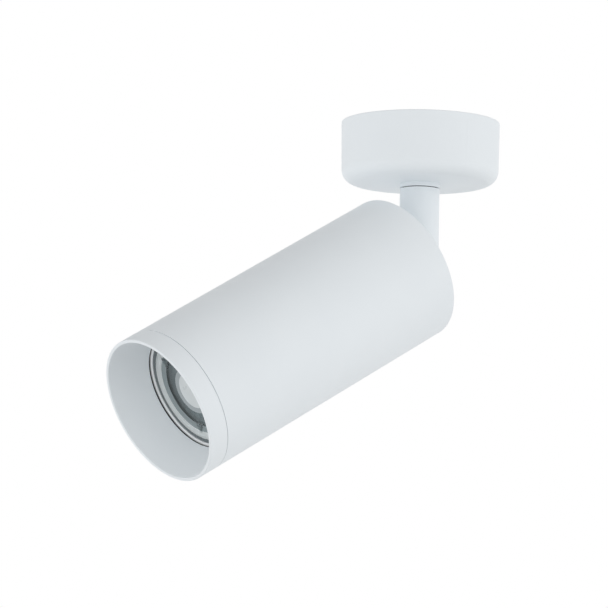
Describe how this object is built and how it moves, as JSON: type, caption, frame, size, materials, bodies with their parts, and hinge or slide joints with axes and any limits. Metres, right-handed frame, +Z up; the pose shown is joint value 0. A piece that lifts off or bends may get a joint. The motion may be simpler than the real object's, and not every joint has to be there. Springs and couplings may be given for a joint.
{
  "type": "surface mounted ceiling spotlight",
  "caption": "Round ceiling canopy with a short swivelling stem that carries a tilting tubular spotlight head, with a recessed cone and a replaceable lamp.",
  "frame": {"origin": "middle of the ceiling bracket's top face, on the ceiling and on the swivel axis", "axes": "+Z up into the ceiling along the swivel axis; the head looks towards -Y and down; +X is the tilt axis"},
  "size_m": [0.064, 0.169, 0.1514],
  "materials": {
    "white_coated_aluminium": "fine matte white powder coat",
    "zinc_steel": "zinc plated",
    "screw_steel": "zinc plated, machined",
    "brass": "machined",
    "lamp_pin_metal": "nickel plated",
    "nylon": "natural nylon",
    "black_rubber": "matte",
    "block_plastic": "translucent white",
    "brown_insulation": "silk",
    "blue_insulation": "silk",
    "green_yellow_insulation": "silk, striped",
    "woven_sleeve": "woven glass fibre",
    "holder_ceramic": "unglazed",
    "lamp_plastic": "satin white",
    "lens_plastic": "clear",
    "reflector_metal": "satin grey",
    "board_green": "solder mask",
    "board_white": "white solder mask",
    "phosphor": "satin"
  },
  "bodies": {
    "ceiling_mount": {"ceiling_bracket": "zinc_steel", "canopy": "white_coated_aluminium", "canopy_lock_screw": "screw_steel", "terminal_block": "block_plastic", "terminal_clamps": "brass", "terminal_screws": "screw_steel", "terminal_block_screws": "screw_steel", "earth_lead_in_canopy": "green_yellow_insulation", "live_lead_in_canopy": "brown_insulation", "neutral_lead_in_canopy": "blue_insulation", "swivel_bush": "white_coated_aluminium", "stop_pin": "zinc_steel"},
    "stem": {"stem": "white_coated_aluminium", "threaded_nipple": "brass", "swivel_slide_washer": "nylon", "swivel_stop_washer": "zinc_steel", "swivel_disc_spring": "zinc_steel", "swivel_nut": "zinc_steel", "swivel_gap_washer": "black_rubber", "tilt_friction_washers": "nylon", "lead_sleeve_in_stem": "woven_sleeve"},
    "head": {"lead_sleeve_in_knuckle": "woven_sleeve", "lead_sleeve_in_head": "woven_sleeve", "knuckle_yoke": "white_coated_aluminium", "tilt_pivot_screws": "screw_steel", "rear_cap": "white_coated_aluminium", "rear_cap_screws": "screw_steel", "yoke_screws": "screw_steel", "lead_grommet": "black_rubber", "body_tube": "white_coated_aluminium", "holder_strap": "zinc_steel", "holder_strap_screws": "screw_steel", "earth_ring_tag": "brass", "live_lead_in_head": "brown_insulation", "neutral_lead_in_head": "blue_insulation", "earth_lead_in_head": "green_yellow_insulation", "lamp_holder": "holder_ceramic", "holder_contacts": "brass", "lamp_holder_screws": "screw_steel"},
    "lamp": {"lamp_pins": "lamp_pin_metal", "lamp_base": "lamp_plastic", "lamp_driver_board": "board_green", "lamp_housing": "lamp_plastic", "lamp_bezel": "lamp_plastic", "lamp_lens": "lens_plastic", "lamp_reflector": "reflector_metal", "lamp_led_board": "board_white", "lamp_led_chip": "phosphor", "lamp_light_guide": "lens_plastic", "lamp_heat_spreader": "board_white"},
    "front_ring": {"front_ring": "white_coated_aluminium", "lamp_gasket": "black_rubber"}
  },
  "joints": [
    {"name": "stem_swivel", "type": "hinge", "parent": "ceiling_mount", "child": "stem", "pos_m": [0, 0, -0.0271], "axis": [0, 0, 1], "range_deg": [-170, 170]},
    {"name": "head_tilt", "type": "hinge", "parent": "stem", "child": "head", "pos_m": [0, 0, -0.055], "axis": [-1, 0, 0], "range_deg": [-60, 25], "deforming": ["lead_sleeve_in_knuckle"]},
    {"name": "lamp_twist", "type": "hinge", "parent": "head", "child": "lamp", "pos_m": [0, 0, -0.055], "axis": [0, -0.866, -0.5], "range_deg": [-20, 0]},
    {"name": "front_ring_off", "type": "slide", "parent": "head", "child": "front_ring", "axis": [0, -0.866, -0.5], "range_m": [0, 0.03]}
  ]
}
